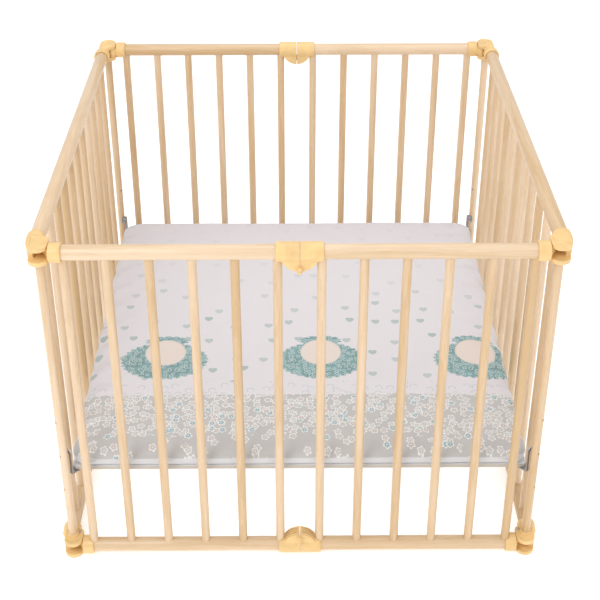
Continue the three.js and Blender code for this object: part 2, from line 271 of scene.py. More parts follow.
class NodeWork:
    """A node tree under construction."""

    def __init__(self, tree):
        self.tree = tree

    def node(self, kind, settings=None, sockets=None):
        """Adds a node, sets its settings, then gives its inputs their values or links."""
        made = self.tree.nodes.new(kind)
        for name, value in (settings or {}).items():
            setattr(made, name, value)
        for key, value in (sockets or {}).items():
            target = made.inputs[key]
            if isinstance(value, Value):
                value = value.socket
            if isinstance(value, bpy.types.NodeSocket):
                self.tree.links.new(value, target)
            else:
                target.default_value = value
        return made

    def value(self, kind, settings=None, sockets=None, output=0):
        return Value(self, self.node(kind, settings, sockets).outputs[output])


class Finish(NodeWork):
    """A material built on one Principled shader."""

    def __init__(self, name, fixed):
        self.material = bpy.data.materials.new(name)
        self.material.use_nodes = True
        super().__init__(self.material.node_tree)
        self.tree.nodes.clear()
        self.shader = self.node("ShaderNodeBsdfPrincipled", None, fixed)
        self.node("ShaderNodeOutputMaterial", None, {"Surface": self.shader.outputs[0]})

    def place(self):
        return self.node("ShaderNodeTexCoord").outputs["Object"]

    def parts(self, vector):
        made = self.node("ShaderNodeSeparateXYZ", None, {0: vector})
        return [Value(self, socket) for socket in made.outputs]

    def vector(self, x, y, z=0.0):
        return self.node("ShaderNodeCombineXYZ", None, {0: x, 1: y, 2: z}).outputs[0]

    def scaled(self, vector, scale, shift=(0, 0, 0)):
        return self.node("ShaderNodeVectorMath", {"operation": "MULTIPLY_ADD"},
                         {0: vector, 1: scale, 2: shift}).outputs[0]

    def noise(self, vector, scale, detail=2.0, roughness=0.5, distortion=0.0):
        return self.value("ShaderNodeTexNoise", {"noise_dimensions": "3D"}, {
            "Vector": vector, "Scale": scale, "Detail": detail,
            "Roughness": roughness, "Distortion": distortion})

    def mix(self, factor, first, second):
        made = self.node("ShaderNodeMix", {"data_type": "RGBA"},
                         {"Factor": factor, "A": colour(first), "B": colour(second)})
        return made.outputs["Result"]

    def soft_step(self, value, low, high):
        """0 below low and 1 above high, with a smooth rise between them."""
        return self.value("ShaderNodeMapRange", {"interpolation_type": "SMOOTHSTEP"},
                          {"Value": value, "From Min": low, "From Max": high})

    def set(self, socket, value):
        if isinstance(value, Value):
            value = value.socket
        self.tree.links.new(value, self.shader.inputs[socket])

    def bump(self, height, strength, distance):
        made = self.node("ShaderNodeBump", None,
                         {"Strength": strength, "Distance": distance, "Height": height})
        self.set("Normal", made.outputs[0])


def colour(value):
    """A colour as a Mix socket takes it."""
    if isinstance(value, bpy.types.NodeSocket):
        return value
    return (*value[:3], 1.0)


# ---- materials -------------------------------------------------------------------------------
def wood_finish(name, wood, along):
    """Lacquered wood with its grain along axis number `along`, and a tone of its own on each bar."""
    finish = Finish(name, {"Roughness": 0.42, "Coat Weight": 0.5, "Coat Roughness": 0.3})
    tone = finish.value("ShaderNodeAttribute", {"attribute_name": "tone"}, None, "Fac")
    shift = tone * 9.0
    coarse = [38.0, 38.0, 38.0]
    coarse[along] = 2.2
    place = finish.node("ShaderNodeVectorMath", {"operation": "MULTIPLY_ADD"}, {
        0: finish.place(), 1: coarse, 2: finish.vector(shift, shift, shift)}).outputs[0]
    streaks = finish.noise(place, 1.0, 5.0, 0.62, 0.6)
    rings = abs((streaks * 34.0 + finish.noise(place, 0.35, 1.0) * 12.0).sine())
    fine = finish.noise(finish.scaled(place, (9, 9, 9)), 1.0, 3.0, 0.7)
    depth = (finish.soft_step(streaks, 0.32, 0.72) * 0.6 + rings * 0.2
             + finish.soft_step(fine, 0.35, 0.75) * 0.2 + (tone - 0.5) * 0.75 + 0.08)
    shade = finish.mix(depth.at_least(0.0).at_most(1.0), wood.light, wood.dark)
    finish.set("Base Color", shade)
    finish.set("Roughness", 0.36 + fine * 0.16)
    finish.bump(streaks * 0.4 + fine * 0.6, 0.16, 0.4 * MM)
    return finish.material


def plastic_finish(plastic):
    """Satin moulded plastic with a fine spark-eroded surface and faint flow marks."""
    finish = Finish("moulded_plastic", {"Roughness": 0.4, "IOR": 1.49, "Coat Weight": 0.1})
    place = finish.place()
    flow = finish.noise(place, 22.0, 3.0, 0.55, 1.2)
    grit = finish.noise(place, 1500.0, 2.0, 0.6)
    light = [min(1.0, part * 1.07) for part in plastic.colour]
    dark = [part * 0.9 for part in plastic.colour]
    finish.set("Base Color", finish.mix(finish.soft_step(flow, 0.3, 0.72), light, dark))
    finish.set("Roughness", 0.34 + grit * 0.14 + flow * 0.06)
    finish.bump(grit, 0.12, 0.15 * MM)
    return finish.material


def steel_finish():
    """Zinc plated steel, brushed and a little clouded."""
    finish = Finish("zinc_plated_steel", {"Metallic": 0.95, "Roughness": 0.35})
    place = finish.place()
    cloud = finish.noise(place, 60.0, 4.0, 0.6)
    brush = finish.noise(finish.scaled(place, (2600.0, 2600.0, 90.0)), 1.0, 2.0, 0.6)
    finish.set("Base Color", finish.mix(cloud, (0.36, 0.36, 0.37), (0.56, 0.57, 0.60)))
    finish.set("Roughness", 0.26 + brush * 0.2 + cloud * 0.12)
    finish.bump(brush, 0.1, 0.1 * MM)
    return finish.material


def board_finish():
    """White laminate on pressed fibre, which shows at the cut edges."""
    finish = Finish("white_laminate", {"Roughness": 0.45})
    place = finish.place()
    normal = finish.parts(finish.node("ShaderNodeNewGeometry").outputs["Normal"])
    cut_edge = 1 - finish.soft_step(abs(normal[2]), 0.3, 0.8)
    fibre = finish.noise(finish.scaled(place, (500.0, 500.0, 1400.0)), 1.0, 3.0, 0.7)
    cloud = finish.noise(place, 9.0, 3.0)
    face = finish.mix(cloud, (0.78, 0.785, 0.79), (0.70, 0.705, 0.715))
    core = finish.mix(fibre, (0.62, 0.58, 0.52), (0.50, 0.46, 0.40))
    finish.set("Base Color", finish.mix(cut_edge, face, core))
    finish.set("Roughness", 0.4 + cut_edge * 0.4 + fibre * 0.06)
    finish.bump(fibre * (0.2 + cut_edge * 0.8), 0.2, 0.2 * MM)
    return finish.material


class Print:
    """The pattern printed on the mattress, in places measured on the cloth."""

    motif_y = -158 * MM
    motif_x = 48 * MM
    motif_spacing = 337 * MM
    body = (88 * MM, 62 * MM)
    patch = (42 * MM, 43 * MM)
    patch_rise = 28 * MM
    cap_rise = 70 * MM
    band_edge = -274 * MM
    flower_layers = ((23 * MM, 0.75, 5.2, 0.38), (20 * MM, 0.8, 0.0, 0.42))
    heart_cell = 60 * MM

    def __init__(self, finish, floor):
        self.finish = finish
        self.floor = floor
        self.x, self.y, self.z = finish.parts(finish.place())

    def cells(self, size, loose, salt=0.0):
        """Scattered spots: each one's own x and y in cell sizes, and two random numbers."""
        finish = self.finish
        grid = finish.vector(self.x / size + salt, self.y / size + salt)
        spots = finish.node("ShaderNodeTexVoronoi", {"voronoi_dimensions": "2D"},
                            {"Vector": grid, "Scale": 1.0, "Randomness": loose})
        local = finish.node("ShaderNodeVectorMath", {"operation": "SUBTRACT"},
                            {0: grid, 1: spots.outputs["Position"]}).outputs[0]
        across, up, _ = finish.parts(local)
        chance, other, _ = finish.parts(spots.outputs["Color"])
        return across, up, chance, other

    def oval(self, x, y, half_width, half_height, scallop=0.0, lobes=0):
        """1 inside an oval whose edge may be scalloped."""
        u = x / half_width
        v = y / half_height
        reach = (u * u + v * v).root()
        if lobes:
            reach = reach - abs((v.angle_from(u) * (lobes / 2)).sine()) * scallop
        return 1 - self.finish.soft_step(reach, 0.97, 1.03)

    def flower(self, size, loose, salt, radius):
        """Five petalled flowers: masks of petals, their insides and eyes, and two random numbers."""
        across, up, chance, other = self.cells(size, loose, salt)
        reach = (across * across + up * up).root()
        petal = abs((up.angle_from(across) * 2.5 + chance * 6.0).sine()) * 0.42 + 0.58
        ratio = reach / (petal * radius)
        petals = 1 - self.finish.soft_step(ratio, 0.94, 1.06)
        insides = 1 - self.finish.soft_step(ratio, 0.62, 0.74)
        eye = 1 - self.finish.soft_step(reach / radius, 0.14, 0.22)
        return petals, insides, eye, chance, other

    def paint(self):
        """The whole print as a colour."""
        finish = self.finish
        tint = finish.noise(finish.place(), 3.2, 2.0)
        ground = finish.mix(tint, self.floor.cloth, (0.725, 0.695, 0.73))
        ground = self.hearts(ground)
        ground = self.tufts(ground)
        ground = self.woolly(ground)
        return self.flower_band(ground)

    def hearts(self, ground):
        """Small hearts scattered over the ground, stronger near the woolly shapes."""
        across, up, chance, other = self.cells(self.heart_cell, 0.75, 3.7)
        u = across * (self.heart_cell / (8.2 * MM))
        v = up * (self.heart_cell / (7.6 * MM)) + 0.1
        round_part = u * u + v * v - 1.0
        heart = (round_part * round_part * round_part - u * u * v * v * v) < 0.0
        near = 1 - self.finish.soft_step(abs(self.y - self.motif_y), 0.10, 0.42)
        clear = self.finish.soft_step(self.y, -0.236, -0.232)
        strength = heart * (chance > 0.25) * (0.14 + near * 0.8) * (0.55 + other * 0.45) * clear
        return self.finish.mix(strength, ground, (0.33, 0.44, 0.43))

    def tufts(self, ground):
        """A strip of open rings that look like tufts of grass, behind the flowers."""
        across, up, chance, _ = self.cells(26 * MM, 0.7, 8.1)
        ring = abs((across * across + up * up).root() - 0.27) < 0.045
        side = (across * (chance - 0.5) * 2.0 + up) > -0.12
        band = self.finish.soft_step(self.y, -0.275, -0.27) * (
            1 - self.finish.soft_step(self.y, -0.236, -0.228))
        return self.finish.mix(ring * side * band * 0.75, ground, (0.50, 0.56, 0.60))

    def woolly(self, ground):
        """Round woolly shapes in a row, each with a plain cream patch and a curly top."""
        finish = self.finish
        half = self.motif_spacing / 2
        x = (self.x - self.motif_x).wrapped(-half, half)
        y = self.y - self.motif_y
        across, up, chance, other = self.cells(11 * MM, 0.85, 1.3)
        curl = abs((across * across + up * up).root() - 0.26 - chance * 0.1) < 0.075
        light = (0.56, 0.66, 0.66)
        dark = [part * 0.72 for part in self.floor.wool]
        wool = finish.mix(curl * 0.85, finish.mix(other, self.floor.wool, dark), light)
        body = self.oval(x, y, *self.body, scallop=0.07, lobes=34)
        top = self.oval(x, y - self.cap_rise, 40 * MM, 16 * MM, scallop=0.2, lobes=14)
        ground = finish.mix(body.at_least(top), ground, wool)
        patch = self.oval(x, y - self.patch_rise, *self.patch)
        rim = self.oval(x, y - self.patch_rise, self.patch[0] * 1.06, self.patch[1] * 1.06)
        speck = finish.noise(finish.place(), 240.0, 2.0)
        cream = finish.mix(speck, (0.80, 0.70, 0.64), (0.74, 0.64, 0.58))
        ground = finish.mix(rim, ground, (0.66, 0.60, 0.56))
        return finish.mix(patch, ground, cream)

    def flower_band(self, ground):
        """A grey meadow of small flowers along the front edge."""
        finish = self.finish
        wave = finish.noise(finish.place(), 26.0, 2.0) * (10 * MM)
        band = 1 - finish.soft_step(self.y + wave, self.band_edge + 3 * MM, self.band_edge + 6 * MM)
        cloud = finish.noise(finish.place(), 14.0, 2.0)
        meadow = finish.mix(cloud, self.floor.meadow, [part * 0.86 for part in self.floor.meadow])
        sparse = 1 - finish.soft_step(self.y, -0.42, -0.37)
        for size, loose, salt, radius in self.flower_layers:
            petals, insides, eye, chance, other = self.flower(size, loose, salt, radius)
            pale = finish.mix(finish.soft_step(other, 0.35, 0.6), self.floor.meadow, (0.54, 0.47, 0.44))
            fill = finish.mix(other > 0.84, pale, (0.27, 0.42, 0.47))
            shown = chance > (0.1 + sparse * 0.62)
            meadow = finish.mix(petals * shown, meadow, (0.80, 0.80, 0.795))
            meadow = finish.mix(insides * shown, meadow, fill)
            meadow = finish.mix(eye * shown, meadow, (0.78, 0.77, 0.75))
        return finish.mix(band, ground, meadow)


def cloth_finish(floor):
    """Printed cotton over wadding, plain down the sides."""
    finish = Finish("printed_cotton", {"Roughness": 0.85, "Sheen Weight": 0.25,
                                       "Sheen Roughness": 0.4})
    pattern = Print(finish, floor)
    side = 1 - finish.soft_step(pattern.z, MATTRESS_HIGH.z - 17 * MM, MATTRESS_HIGH.z - 15 * MM)
    plain = finish.mix(finish.noise(finish.place(), 18.0, 2.0), (0.70, 0.71, 0.735), (0.67, 0.68, 0.71))
    threads = 1 / (0.62 * MM)
    weave = (pattern.x * (threads * math.tau)).sine() * (pattern.y * (threads * math.tau)).sine()
    slub = finish.noise(finish.scaled(finish.place(), (900.0, 220.0, 900.0)), 1.0, 2.0)
    cover = finish.mix(side, pattern.paint(), plain)
    worn = finish.mix((slub * 0.16).at_most(1.0), cover, (0.55, 0.54, 0.55))
    finish.set("Base Color", worn)
    finish.set("Roughness", 0.78 + slub * 0.14)
    finish.bump(weave * 0.5 + slub * 0.7, 0.22, 0.3 * MM)
    return finish.material


def ground_finish():
    """Matt white studio paper."""
    finish = Finish("studio_paper", {
        "Roughness": 0.9, "Emission Color": (1.0, 1.0, 1.0, 1.0), "Emission Strength": 0.42})
    grain = finish.noise(finish.place(), 6.0, 2.0)
    finish.set("Base Color", finish.mix(grain, (0.93, 0.93, 0.93), (0.91, 0.91, 0.91)))
    return finish.material


def material_called(name, make):
    """The finish of that name, made the first time it is wanted."""
    return bpy.data.materials.get(name) or make()


def wood_material(context, along):
    name = ("wood_across", "wood_along", "wood_upright")[along]
    return material_called(name, lambda: wood_finish(name, context.scene.playpen_wood, along))


def plastic_material(context):
    return material_called("moulded_plastic", lambda: plastic_finish(context.scene.playpen_plastic))


# ---- mesh building ---------------------------------------------------------------------------
def show(name, mesh, material, sharp=40):
    """Puts a finished mesh in the scene as a piece at the origin."""
    mesh.name = name
    mesh.materials.clear()
    mesh.materials.append(material)
    for face in mesh.polygons:
        face.use_smooth = True
    mesh.set_sharp_from_angle(angle=math.radians(sharp))
    piece = bpy.data.objects.new(name, mesh)
    bpy.context.scene.collection.objects.link(piece)
    return piece


def mesh_of(work):
    mesh = bpy.data.meshes.new("work")
    work.to_mesh(mesh)
    work.free()
    return mesh


def joined(meshes):
    """One mesh holding all of them. The ones given are removed."""
    work = bmesh.new()
    for mesh in meshes:
        work.from_mesh(mesh)
        bpy.data.meshes.remove(mesh)
    return mesh_of(work)


def turned(profile, sides=48):
    """A mesh turned round Z from (radius, height) points that start and end on the axis."""
    work = bmesh.new()
    rings = []
    for radius, height in profile:
        if radius == 0:
            rings.append([work.verts.new((0, 0, height))])
            continue
        rings.append([work.verts.new((radius * math.cos(math.tau * i / sides),
                                      radius * math.sin(math.tau * i / sides), height))
                      for i in range(sides)])
    for low, high in zip(rings, rings[1:]):
        for i in range(sides):
            k = (i + 1) % sides
            quad = [low[i % len(low)], low[k % len(low)], high[k % len(high)], high[i % len(high)]]
            work.faces.new(list(dict.fromkeys(quad)))
    bmesh.ops.recalc_face_normals(work, faces=work.faces)
    return mesh_of(work)


def rounded_rod(radius, low, high, soft, sides=48):
    """A rod with softened ends."""
    edge = [(soft * math.sin(math.radians(a)), soft * (1 - math.cos(math.radians(a))))
            for a in (0, 30, 60, 90)]
    start = [(radius - soft + out, low + up) for out, up in edge]
    end = [(r, low + high - h) for r, h in reversed(start)]
    return turned([(0, low), *start, *end, (0, high)], sides)


AXIS_TURN = (Matrix.Rotation(math.pi / 2, 4, "Y"), Matrix.Rotation(-math.pi / 2, 4, "X"), Matrix())


def laid(mesh, axis, place=(0, 0, 0)):
    """Turns a mesh made along Z to run along another axis, and puts it in place."""
    mesh.transform(Matrix.Translation(Vector(place)) @ AXIS_TURN[axis])
    return mesh


def extruded(points, low, high, soft=0.0, rim=0.0, recess=0.0):
    """An outline in X and Y raised from low to high. Its upper face may be softened and recessed."""
    work = bmesh.new()
    base = work.faces.new([work.verts.new((x, y, low)) for x, y in points])
    made = bmesh.ops.extrude_face_region(work, geom=[base])["geom"]
    lifted = [item for item in made if isinstance(item, bmesh.types.BMVert)]
    bmesh.ops.translate(work, verts=lifted, vec=(0, 0, high - low))
    bmesh.ops.recalc_face_normals(work, faces=work.faces)
    upper = max(work.faces, key=lambda face: face.calc_center_median().z)
    if soft:
        bmesh.ops.bevel(work, geom=list(upper.edges), offset=soft, segments=3, profile=0.5,
                        affect="EDGES", clamp_overlap=True)
        upper = max(work.faces, key=lambda face: (face.calc_center_median().z, face.calc_area()))
    if rim:
        bmesh.ops.inset_region(work, faces=[upper], thickness=rim, depth=0)
        bmesh.ops.inset_region(work, faces=[upper], thickness=recess, depth=-recess)
    return mesh_of(work)


def box_mesh(low, high):
    work = bmesh.new()
    bmesh.ops.create_cube(work, size=1)
    size = Vector(high) - Vector(low)
    middle = (Vector(high) + Vector(low)) / 2
    bmesh.ops.transform(work, matrix=Matrix.Translation(middle) @ Matrix.Diagonal((*size, 1)),
                        verts=work.verts)
    return mesh_of(work)


def arc(centre, radius, start, end, steps):
    """Points of an arc in the plane, in degrees."""
    return [(centre[0] + radius * math.cos(math.radians(start + (end - start) * i / steps)),
             centre[1] + radius * math.sin(math.radians(start + (end - start) * i / steps)))
            for i in range(steps + 1)]


def settled(mesh, modifiers):
    """The mesh after a list of (modifier type, settings), as a plain mesh."""
    piece = bpy.data.objects.new("work", mesh)
    bpy.context.scene.collection.objects.link(piece)
    for kind, values in modifiers:
        modifier = piece.modifiers.new(kind, kind)
        for name, value in values.items():
            setattr(modifier, name, value)
    graph = bpy.context.evaluated_depsgraph_get()
    result = bpy.data.meshes.new_from_object(piece.evaluated_get(graph))
    bpy.data.objects.remove(piece)
    bpy.data.meshes.remove(mesh)
    return result


def cut(mesh, cutters):
    """The mesh with the cutters' volumes taken away."""
    tool = bpy.data.objects.new("cutter", joined(cutters))
    bpy.context.scene.collection.objects.link(tool)
    result = settled(mesh, [("BOOLEAN", {"object": tool, "operation": "DIFFERENCE",
                                         "solver": "EXACT", "use_self": True})])
    spare = tool.data
    bpy.data.objects.remove(tool)
    bpy.data.meshes.remove(spare)
    return result


def moulded(shells, step, smooth=5):
    """Joins overlapping closed shells into one skin with the soft edges of a moulding."""
    return settled(joined(shells), [
        ("REMESH", {"mode": "VOXEL", "voxel_size": step, "adaptivity": 0.0}),
        ("SMOOTH", {"factor": 0.5, "iterations": smooth}),
    ])


def reflected(mesh, signs, place):
    """A copy reflected in the planes whose sign is -1 and moved to its place."""
    made = mesh.copy()
    made.transform(Matrix.Translation(Vector(place)) @ Matrix.Diagonal((*signs, 1)))
    if signs[0] * signs[1] * signs[2] < 0:
        made.flip_normals()
    return made


def fasten(piece, body, slot, *nodes):
    """Makes the piece move with its body and hides the nodes it stands for. The slot is not used."""
    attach(piece, body)
    if nodes:
        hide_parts(*nodes)
    return piece


# ---- Geometry Nodes: a row of bars -----------------------------------------------------------
BAR_ROW_INPUTS = (
    ("Count", "NodeSocketInt"), ("First", "NodeSocketVector"), ("Step", "NodeSocketVector"),
    ("Radius", "NodeSocketFloat"), ("Length", "NodeSocketFloat"), ("Seed", "NodeSocketInt"),
    ("Material", "NodeSocketMaterial"),
)


def bar_row_tree():
    """Upright rods on a line of points, each with a random tone."""
    found = bpy.data.node_groups.get("bar_row")
    if found:
        return found
    tree = bpy.data.node_groups.new("bar_row", "GeometryNodeTree")
    for name, kind in BAR_ROW_INPUTS:
        tree.interface.new_socket(name, in_out="INPUT", socket_type=kind)
    tree.interface.new_socket("Bars", in_out="OUTPUT", socket_type="NodeSocketGeometry")
    work = NodeWork(tree)
    given = work.node("NodeGroupInput").outputs
    line = work.node("GeometryNodeMeshLine", {"mode": "OFFSET"}, {
        "Count": given["Count"], "Start Location": given["First"], "Offset": given["Step"]})
    rod = work.node("GeometryNodeMeshCylinder", {"fill_type": "NGON"}, {
        "Vertices": 28, "Side Segments": 1, "Radius": given["Radius"], "Depth": given["Length"]})
    row = work.node("GeometryNodeInstanceOnPoints", None, {
        "Points": line.outputs["Mesh"], "Instance": rod.outputs["Mesh"]})
    tone = work.node("FunctionNodeRandomValue", {"data_type": "FLOAT"}, {"Seed": given["Seed"]})
    toned = work.node("GeometryNodeStoreNamedAttribute", {"data_type": "FLOAT", "domain": "INSTANCE"}, {
        "Geometry": row.outputs[0], "Name": "tone", "Value": tone.outputs[1]})
    real = work.node("GeometryNodeRealizeInstances", None, {0: toned.outputs[0]})
    painted = work.node("GeometryNodeSetMaterial", None, {
        "Geometry": real.outputs[0], "Material": given["Material"]})
    work.node("NodeGroupOutput", None, {0: painted.outputs[0]})
    return tree


def bar_row(name, values):
    """Runs the bar_row tree with these inputs and gives its result as a plain mesh."""
    tree = bar_row_tree()
    holder = bpy.data.objects.new(name, bpy.data.meshes.new(name))
    modifier = holder.modifiers.new("bars", "NODES")
    modifier.node_group = tree
    for item in tree.interface.items_tree:
        if item.in_out == "INPUT":
            modifier[item.identifier] = values[item.name]
    bpy.context.scene.collection.objects.link(holder)
    graph = bpy.context.evaluated_depsgraph_get()
    mesh = bpy.data.meshes.new_from_object(holder.evaluated_get(graph))
    holder.modifiers.clear()
    spare = holder.data
    bpy.data.objects.remove(holder)
    bpy.data.meshes.remove(spare)
    return mesh


def give_tone(mesh, value):
    """One tone for a whole piece of wood."""
    tone = mesh.attributes.new("tone", "FLOAT", "POINT")
    tone.data.foreach_set("value", [value] * len(mesh.vertices))
    return mesh


# ---- places that several pieces share --------------------------------------------------------
def corners():
    """Every corner as side, its X sign, end, its Y sign."""
    return [(side, sx, end, sy) for side, sx in SIDES for end, sy in ENDS]


def bar_pitches(wood):
    """Axis to axis between the bars of a folding panel, and between those of a side."""
    folding = (HALF_X - wood.last_bar - wood.first_bar) / (wood.bars_per_half - 1)
    return folding, 2 * (HALF_Y - POST_INSET.y) / (wood.bars_per_side + 1)


def put_on_post(mesh, sx, sy, height=0.0):
    """Turns a mesh whose X runs inwards to a corner's diagonal, and puts it on the post's axis."""
    mesh.transform(Matrix.Rotation(math.atan2(sy, sx), 4, "Z"))
    mesh.transform(Matrix.Translation((-sx * (HALF_X - POST_INSET.x),
                                       -sy * (HALF_Y - POST_INSET.y), height)))
    return mesh


def notched(sleeve, plastic, wood, place):
    """A sleeve along X with a notch in its lower side for the bar at this place."""
    reach = plastic.collar_radius + 4 * MM
    notch = rounded_rod(wood.bar_radius + NOTCH_GAP, -reach, 0, 0.1 * MM, PIN_SIDES)
    notch.transform(Matrix.Translation((place, 0, 0)))
    return cut(sleeve, [notch])


def show_moulding(context, mesh, body, node):
    """Shows a moulded piece in place of its node."""
    piece = show(node + "_moulded", mesh, plastic_material(context), MOULDING_ANGLE)
    fasten(piece, body, "hinge_plastic", node)


def fit_corners(context, master, body, node):
    """Puts copies of a left front top fitting at all corners, above and below. Removes the master."""
    for side, sx, end, sy in corners():
        for level, height, sz in LEVELS:
            mesh = reflected(master, (sx, sy, sz), (-sx * HALF_X, -sy * HALF_Y, height))
            words = {"side": side, "end": end, "level": level}
            show_moulding(context, mesh, body.format(**words), node.format(**words))
    bpy.data.meshes.remove(master)


# ---- operators -------------------------------------------------------------------------------
class PLAYPEN_OT_rails(bpy.types.Operator):
    """Turn the round rails of all four panels"""

    bl_idname = "playpen.rails"
    bl_label = "Rails"

    def execute(self, context):
        radius = context.scene.playpen_wood.rail_radius
        number = 0
        for side, sx in SIDES:
            panels = [(side, f"{side}_side", 1, (-sx * HALF_X, 0))]
            panels += [(f"{end}_{side}", f"{end}_{side}", 0, (0, -sy * HALF_Y)) for end, sy in ENDS]
            for name, body, axis, place in panels:
                for level, height, _ in LEVELS:
                    number += 1
                    low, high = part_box(f"{body}_top_rail")
                    rod = rounded_rod(radius, low[axis], high[axis], 1.2 * MM)
                    rail = give_tone(laid(rod, axis, (*place, height)), (0.37 * number) % 1)
                    piece = show(f"{name}_{level}_turned_rail", rail, wood_material(context, axis))
                    nodes = [f"{body}_top_rail"] if level == "top" else []
                    fasten(piece, body, "wood", *nodes)
        return {"FINISHED"}


class PLAYPEN_OT_bars(bpy.types.Operator):
    """Set the rows of upright bars into the rails"""

    bl_idname = "playpen.bars"
    bl_label = "Bars"

    def execute(self, context):
        wood = context.scene.playpen_wood
        length = TOP_Z - BOTTOM_Z
        middle = (TOP_Z + BOTTOM_Z) / 2
        common = {"Radius": wood.bar_radius, "Length": length, "Material": wood_material(context, 2)}
        pitch, side_pitch = bar_pitches(wood)
        side_first = -side_pitch * (wood.bars_per_side - 1) / 2
        for number, (side, sx) in enumerate(SIDES):
            mesh = bar_row("bars", {
                "Count": wood.bars_per_side, "First": (-sx * HALF_X, side_first, middle),
                "Step": (0, side_pitch, 0), "Seed": 11 + number, **common})
            piece = show(f"{side}_side_bars", mesh, wood_material(context, 2))
            fasten(piece, f"{side}_side", "wood", f"{side}_side_bottom_rail_and_bars")
            for end, sy in ENDS:
                mesh = bar_row("bars", {
                    "Count": wood.bars_per_half, "First": (-sx * wood.first_bar, -sy * HALF_Y, middle),
                    "Step": (-sx * pitch, 0, 0), "Seed": 21 + 2 * number + sy, **common})
                piece = show(f"{end}_{side}_bars", mesh, wood_material(context, 2))
                fasten(piece, f"{end}_{side}", "wood", f"{end}_{side}_bottom_rail_and_bars")
        return {"FINISHED"}


class PLAYPEN_OT_posts(bpy.types.Operator):
    """Turn the corner posts and drill their peg holes"""

    bl_idname = "playpen.posts"
    bl_label = "Corner posts"

    def execute(self, context):
        wood = context.scene.playpen_wood
        for number, (side, sx, end, sy) in enumerate(corners()):
            node = f"{side}_{end}_post"
            low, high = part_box(node)
            post = rounded_rod(wood.bar_radius, low.z, high.z, 0.8 * MM)
            holes = [self.hole(wood, PEG_Z + step * wood.hole_pitch) for step in (-1, 0, 1)]
            mesh = put_on_post(cut(post, holes), sx, sy)
            piece = show(node + "_turned", give_tone(mesh, (0.29 * number + 0.2) % 1),
                         wood_material(context, 2))
            fasten(piece, f"{side}_side", "wood", node)
        return {"FINISHED"}

    def hole(self, wood, height):
        return laid(rounded_rod(wood.hole_radius, -12 * MM, 12 * MM, 0.1 * MM, 20), 0, (0, 0, height))


def corner_outline():
    """A corner fitting's plate seen from above, with the crossing of the rail axes at the origin."""
    edge = SLEEVE_START - 0.4 * MM
    front = (edge - PLATE_WIDTH / 2, FITTING_FRONT + PLATE_WIDTH / 2)
    return [
        *arc((PIN_INSET.x, PIN_INSET.y), edge - PIN_INSET.x, 0, 90, 8),
        (PIN_INSET.x - 3 * MM, PLATE_DEPTH),
        (edge - PLATE_WIDTH, PLATE_DEPTH),
        *arc(front, PLATE_WIDTH / 2, 180, 360, 28),
    ]


class PLAYPEN_OT_corner_fittings(bpy.types.Operator):
    """Mould the corner fittings that join posts and side rails"""

    bl_idname = "playpen.corner_fittings"
    bl_label = "Corner fittings"

    def execute(self, context):
        plastic = context.scene.playpen_plastic
        wood = context.scene.playpen_wood
        master = moulded(self.shells(plastic, wood), plastic.skin, 3)
        fit_corners(context, master, "{side}_side", "{side}_{end}_{level}_corner_fitting")
        return {"FINISHED"}

    def shells(self, plastic, wood):
        """Closed shells of the left front top fitting about the crossing of the rail axes."""
        half = FITTING_HALF
        slot = plastic.slot_half
        outline = corner_outline()
        soft, rim, recess = 2 * MM, 2.2 * MM, 1.8 * MM
        upper = extruded(outline, slot, half, soft, rim, recess)
        lower = reflected(upper, (1, 1, -1), (0, 0, 0))
        edge = outline[0][0] - PLATE_WIDTH
        web = box_mesh((edge, -2 * MM, -slot - 1 * MM), (2 * MM, 27 * MM, slot + 1 * MM))
        return [upper, lower, web, self.socket(plastic, wood), self.boss(wood, slot, half)]

    def socket(self, plastic, wood):
        """The cup along Y that the side rail's end sits in, with a thicker band at its mouth."""
        back = 24 * MM
        band = plastic.collar_radius
        neck = band - 0.8 * MM
        rail = wood.rail_radius + RAIL_GAP
        mouth = SOCKET_END
        depth = mouth - 16 * MM
        return laid(turned([
            (0, back), (band - 5 * MM, back), (band - 1.6 * MM, back + 2.5 * MM),
            (neck, back + 6 * MM), (neck, mouth - 12 * MM), (band, mouth - 11 * MM),
            (band, mouth - 1.4 * MM), (band - 1.4 * MM, mouth), (rail, mouth), (rail, depth),
            (0, depth)]), 1)

    def boss(self, wood, slot, half):
        """The tapered collar under the lower plate that the post's end sits in."""
        tip = -half - 4 * MM
        root = -slot - 2 * MM
        narrow, wide = 11 * MM, 12 * MM
        return laid(turned([
            (0, tip + 1 * MM), (wood.bar_radius + 0.4 * MM, tip), (narrow - 0.8 * MM, tip),
            (narrow, tip + 1 * MM), (wide, root), (0, root)]), 2, (POST_INSET.x, POST_INSET.y, 0))


